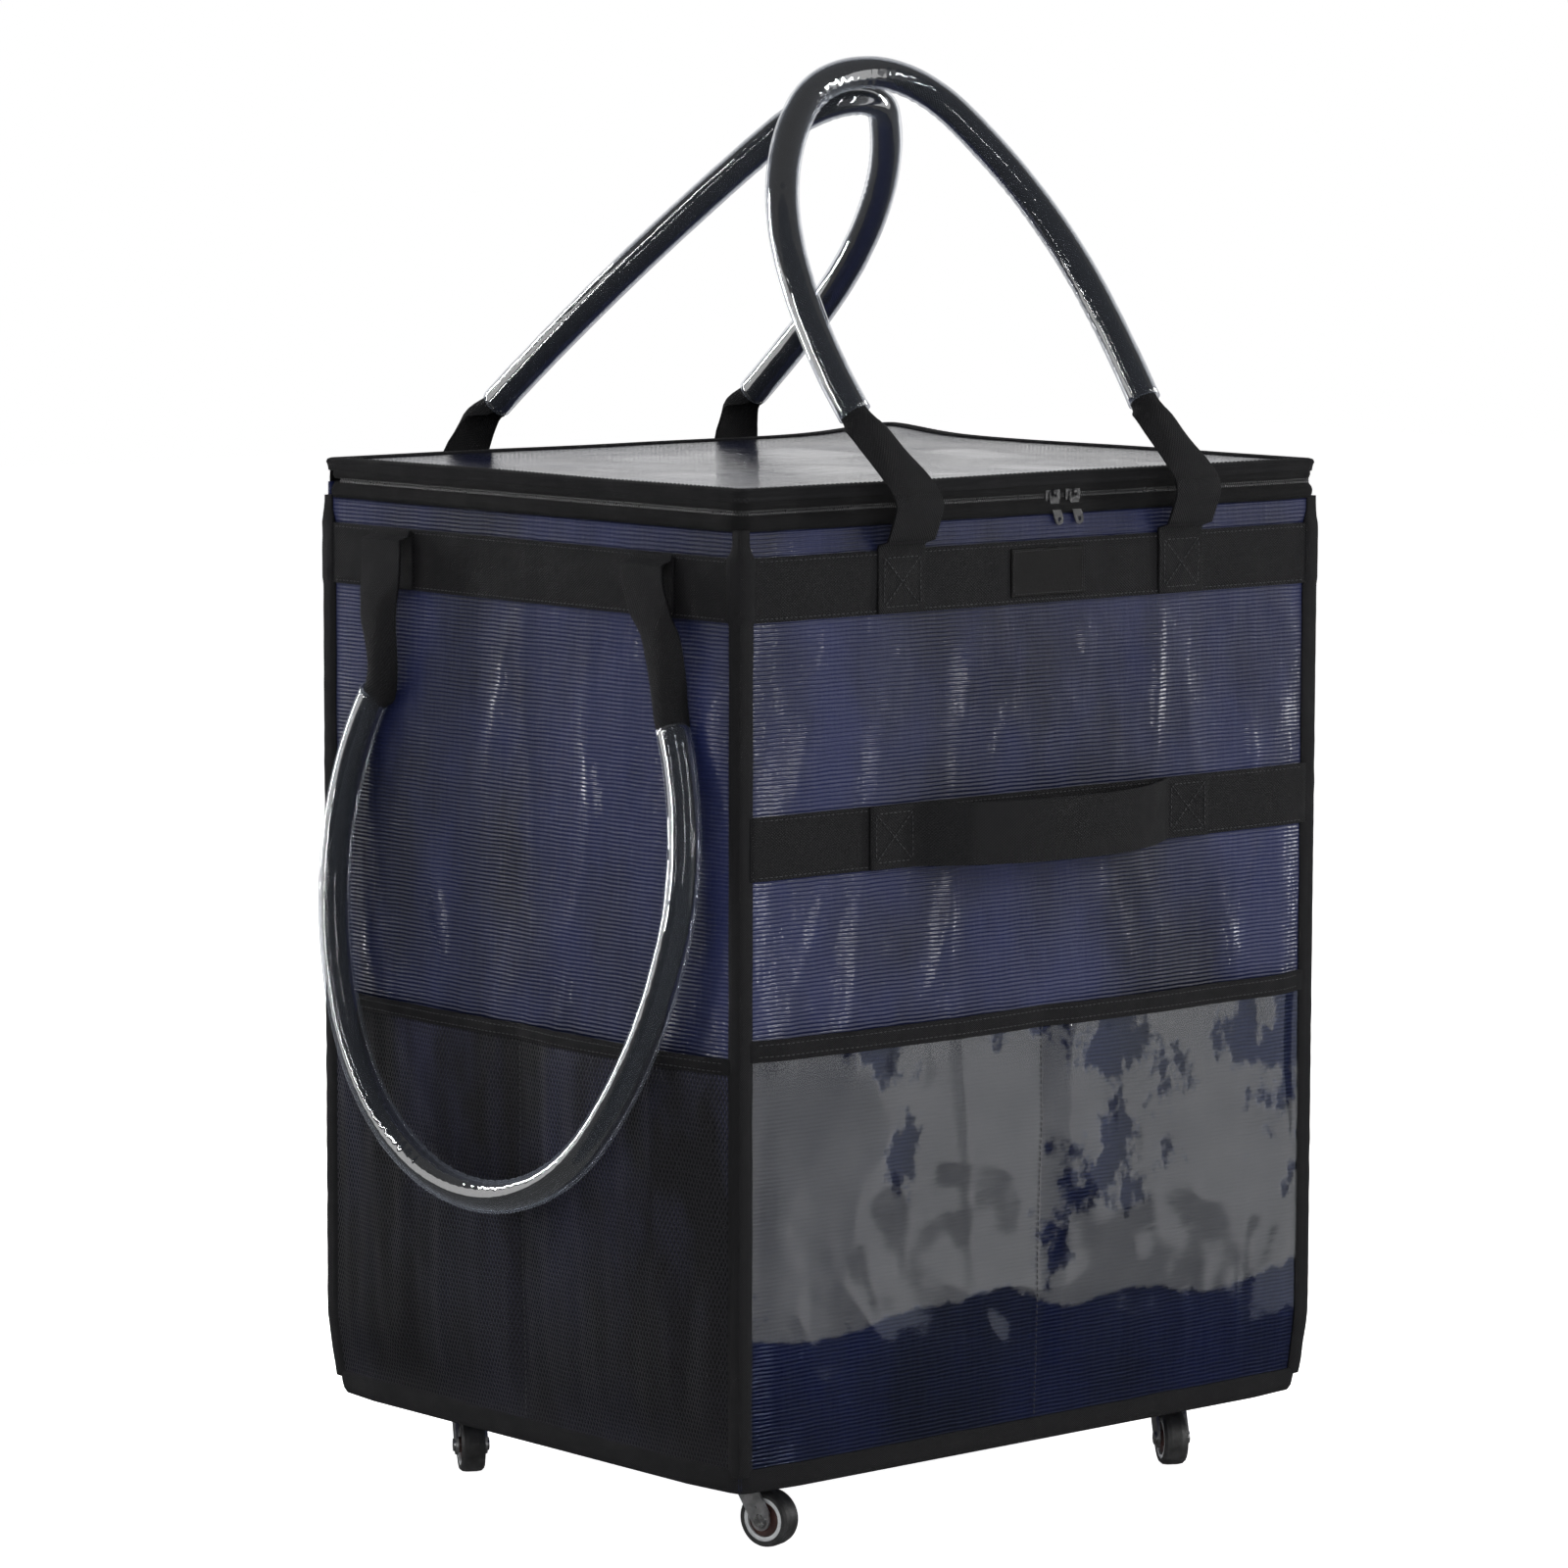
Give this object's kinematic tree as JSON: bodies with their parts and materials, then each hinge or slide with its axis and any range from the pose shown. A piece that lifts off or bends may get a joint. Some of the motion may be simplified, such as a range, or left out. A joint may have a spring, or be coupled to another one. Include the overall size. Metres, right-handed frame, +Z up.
{
  "type": "shopping trolley on wheels",
  "caption": "Soft rectangular zip-top tote on small swivel casters, with clear front pocket, mesh side pockets, webbing bands and hose-covered carrying and pull handles.",
  "frame": {"origin": "on the floor under the middle of the bounding box", "axes": "+Z up, -Y out of the front face with the clear pocket, -X out of the face with the pull handle"},
  "size_m": [0.4844, 0.401, 0.8264],
  "materials": {
    "navy_laminate": "laminated woven tape, glossy",
    "base_board": "hard board, black paper faced",
    "clear_hose": "clear soft PVC",
    "clear_sheet": "clear soft PVC sheet",
    "black_mesh": "knitted mesh",
    "black_metal": "black gloss",
    "zipper_coil": "nylon coil",
    "label": "woven label, blank",
    "zinc_steel": "zinc plated",
    "rivet_steel": "bright rivet",
    "hub_plastic": "moulded plastic with a light grey rim ring",
    "tyre_rubber": "smooth tread",
    "black_webbing": "woven polypropylene webbing and binding"
  },
  "bodies": {
    "bag": {"base_board": "base_board", "floor_panel": "navy_laminate", "front_panel": "navy_laminate", "back_panel": "navy_laminate", "left_panel": "navy_laminate", "right_panel": "navy_laminate", "corner_bindings": "black_webbing", "base_binding": "black_webbing", "upper_band": "black_webbing", "front_band": "black_webbing", "front_grab_handle": "black_webbing", "label_patch": "label", "front_pocket": "clear_sheet", "front_pocket_binding": "black_webbing", "left_mesh_pocket": "black_mesh", "right_mesh_pocket": "black_mesh", "mesh_pocket_bindings": "black_webbing", "zipper_tape_lower": "black_webbing", "zipper_chain_lower": "zipper_coil", "handle_sewn_ends": "black_webbing", "caster_plates": "zinc_steel", "caster_screws": "zinc_steel", "caster_kingpins": "zinc_steel"},
    "lid": {"lid_panel": "navy_laminate", "lid_binding": "black_webbing", "lid_hinge_strip": "black_webbing", "zipper_tape_upper": "black_webbing", "zipper_chain_upper": "zipper_coil"},
    "slider_left": {"zip_slider_left": "black_metal"},
    "slider_right": {"zip_slider_right": "black_metal"},
    "pull_tab_left": {"zip_pull_left": "black_metal"},
    "pull_tab_right": {"zip_pull_right": "black_metal"},
    "front_straps": {"front_strap_ends": "black_webbing"},
    "front_handle": {"front_handle_webbing": "black_webbing", "front_handle_hose": "clear_hose"},
    "back_straps": {"back_strap_ends": "black_webbing"},
    "back_handle": {"back_handle_webbing": "black_webbing", "back_handle_hose": "clear_hose"},
    "pull_handle": {"pull_handle_webbing": "black_webbing", "pull_handle_hose": "clear_hose"},
    "caster_fl": {"fork_fl": "zinc_steel", "axle_fl": "rivet_steel"},
    "wheel_fl": {"hub_fl": "hub_plastic", "tyre_fl": "tyre_rubber"},
    "caster_fr": {"fork_fr": "zinc_steel", "axle_fr": "rivet_steel"},
    "wheel_fr": {"hub_fr": "hub_plastic", "tyre_fr": "tyre_rubber"},
    "caster_bl": {"fork_bl": "zinc_steel", "axle_bl": "rivet_steel"},
    "wheel_bl": {"hub_bl": "hub_plastic", "tyre_bl": "tyre_rubber"},
    "caster_br": {"fork_br": "zinc_steel", "axle_br": "rivet_steel"},
    "wheel_br": {"hub_br": "hub_plastic", "tyre_br": "tyre_rubber"}
  },
  "joints": [
    {"name": "lid_hinge", "type": "hinge", "parent": "bag", "child": "lid", "pos_m": [0.01424, 0.1967, 0.582], "axis": [-1, 0, 0], "range_deg": [0, 90]},
    {"name": "front_strap_fold", "type": "hinge", "parent": "bag", "child": "front_straps", "pos_m": [0.01424, -0.1773, 0.5575], "axis": [1, 0, 0], "range_deg": [0, 144]},
    {"name": "front_handle_swing", "type": "hinge", "parent": "front_straps", "child": "front_handle", "pos_m": [0.01424, -0.1793, 0.621], "axis": [1, 0, 0], "range_deg": [0, 60]},
    {"name": "back_strap_fold", "type": "hinge", "parent": "bag", "child": "back_straps", "pos_m": [0.01424, 0.1967, 0.5575], "axis": [-1, 0, 0], "range_deg": [0, 90]},
    {"name": "back_handle_swing", "type": "hinge", "parent": "back_straps", "child": "back_handle", "pos_m": [0.01424, 0.1957, 0.612], "axis": [-1, 0, 0], "range_deg": [0, 100]},
    {"name": "pull_handle_swing", "type": "hinge", "parent": "bag", "child": "pull_handle", "pos_m": [-0.21276, 0.0097, 0.5205], "axis": [0, 1, 0], "range_deg": [0, 160]},
    {"name": "zip_left_slide", "type": "slide", "parent": "bag", "child": "slider_left", "axis": [-1, 0, 0], "range_m": [0, 0.212]},
    {"name": "zip_right_slide", "type": "slide", "parent": "bag", "child": "slider_right", "axis": [1, 0, 0], "range_m": [0, 0.183]},
    {"name": "tab_left_flip", "type": "hinge", "parent": "slider_left", "child": "pull_tab_left", "pos_m": [0.02374, -0.1762, 0.5836], "axis": [-1, 0, 0], "range_deg": [0, 150]},
    {"name": "tab_right_flip", "type": "hinge", "parent": "slider_right", "child": "pull_tab_right", "pos_m": [0.03924, -0.1762, 0.5836], "axis": [-1, 0, 0], "range_deg": [0, 150]},
    {"name": "swivel_fl", "type": "hinge", "parent": "bag", "child": "caster_fl", "pos_m": [-0.14876, -0.1173, 0.038], "axis": [0, 0, 1], "continuous": true},
    {"name": "roll_fl", "type": "hinge", "parent": "caster_fl", "child": "wheel_fl", "pos_m": [-0.14518, -0.1298, 0.016], "axis": [-0.9613, -0.2756, 0], "continuous": true},
    {"name": "swivel_fr", "type": "hinge", "parent": "bag", "child": "caster_fr", "pos_m": [0.17724, -0.1173, 0.038], "axis": [0, 0, 1], "continuous": true},
    {"name": "roll_fr", "type": "hinge", "parent": "caster_fr", "child": "wheel_fr", "pos_m": [0.17055, -0.12844, 0.016], "axis": [-0.8572, 0.515, 0], "continuous": true},
    {"name": "swivel_bl", "type": "hinge", "parent": "bag", "child": "caster_bl", "pos_m": [-0.14876, 0.1367, 0.038], "axis": [0, 0, 1], "continuous": true},
    {"name": "roll_bl", "type": "hinge", "parent": "caster_bl", "child": "wheel_bl", "pos_m": [-0.15546, 0.12556, 0.016], "axis": [-0.8572, 0.515, 0], "continuous": true},
    {"name": "swivel_br", "type": "hinge", "parent": "bag", "child": "caster_br", "pos_m": [0.17724, 0.1367, 0.038], "axis": [0, 0, 1], "continuous": true},
    {"name": "roll_br", "type": "hinge", "parent": "caster_br", "child": "wheel_br", "pos_m": [0.17279, 0.12448, 0.016], "axis": [-0.9397, 0.342, 0], "continuous": true}
  ],
  "couplings": [
    {"joint": "front_strap_fold", "follows": "lid_hinge", "ratio": 1.6},
    {"joint": "back_strap_fold", "follows": "lid_hinge", "ratio": 1}
  ]
}
